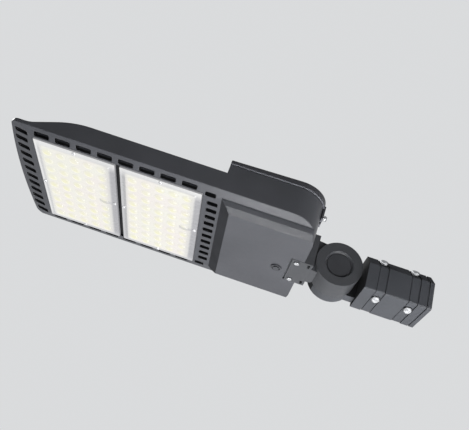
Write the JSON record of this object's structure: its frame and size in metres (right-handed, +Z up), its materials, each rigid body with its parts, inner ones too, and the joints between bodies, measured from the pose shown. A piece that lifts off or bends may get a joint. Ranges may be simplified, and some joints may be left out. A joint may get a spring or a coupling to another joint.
{
  "type": "street light",
  "caption": "LED street light: flat vented head with lensed LED modules under it, hinged driver box, and a toothed tilting knuckle on a slip fitter that clamps a pole tenon.",
  "frame": {"origin": "centre of the tenon socket's mouth", "axes": "+X out of the socket towards the pole, +Z up with the head level, Y along the tilt axis"},
  "size_m": [0.7875, 0.305, 0.1064],
  "materials": {
    "housing_coat": "satin powder coat",
    "lid_coat": "satin powder coat",
    "sink_coat": "satin powder coat",
    "arm_coat": "satin powder coat",
    "fitter_coat": "satin powder coat",
    "cap_plastic": "moulded, satin",
    "screw_steel": "plain stainless",
    "galvanised_sheet": "galvanised",
    "board_white": "white solder mask",
    "led_phosphor": "glossy resin",
    "lens_clear": "clear moulded optic",
    "gasket_dark": "matt",
    "gasket_pale": "matt silicone",
    "driver_case": "anodised",
    "black_plastic": "moulded, matt",
    "terminal_plastic": "moulded, matt",
    "terminal_brass": "plain",
    "surge_plastic": "potted, glossy",
    "bush_rubber": "matt",
    "plug_plastic": "moulded, matt"
  },
  "bodies": {
    "fitter": {"slip_fitter": "fitter_coat", "set_screws": "screw_steel"},
    "head": {"housing": "housing_coat", "front_heat_sink": "sink_coat", "rear_heat_sink": "sink_coat", "heat_sink_screws": "screw_steel", "front_led_board": "board_white", "rear_led_board": "board_white", "front_led_chips": "led_phosphor", "rear_led_chips": "led_phosphor", "front_lens_gasket": "gasket_dark", "rear_lens_gasket": "gasket_dark", "front_lens": "lens_clear", "rear_lens": "lens_clear", "lens_screws": "screw_steel", "lid_gasket": "gasket_pale", "lid_screws": "screw_steel", "gear_tray": "galvanised_sheet", "tray_screws": "screw_steel", "led_driver": "driver_case", "driver_end_caps": "black_plastic", "terminal_block": "terminal_plastic", "terminal_screws": "terminal_brass", "surge_protector": "surge_plastic", "wire_grommet": "bush_rubber", "cable_gland": "black_plastic", "breather_plug": "plug_plastic", "mounting_arm": "arm_coat", "foot_screws": "screw_steel", "arm_bolts": "screw_steel", "pivot_bolt": "screw_steel", "pivot_washers": "screw_steel", "pivot_nut": "screw_steel", "pivot_cap": "cap_plastic"},
    "lid": {"driver_lid": "lid_coat", "lid_hinge_pins": "screw_steel"}
  },
  "joints": [
    {"name": "tilt", "type": "hinge", "parent": "fitter", "child": "head", "pos_m": [-0.17, 0, 0], "axis": [0, 1, 0], "range_deg": [-90, 90]},
    {"name": "lid_hinge", "type": "hinge", "parent": "head", "child": "lid", "pos_m": [-0.413, 0, 0.05], "axis": [0, -1, 0], "range_deg": [0, 100]}
  ]
}
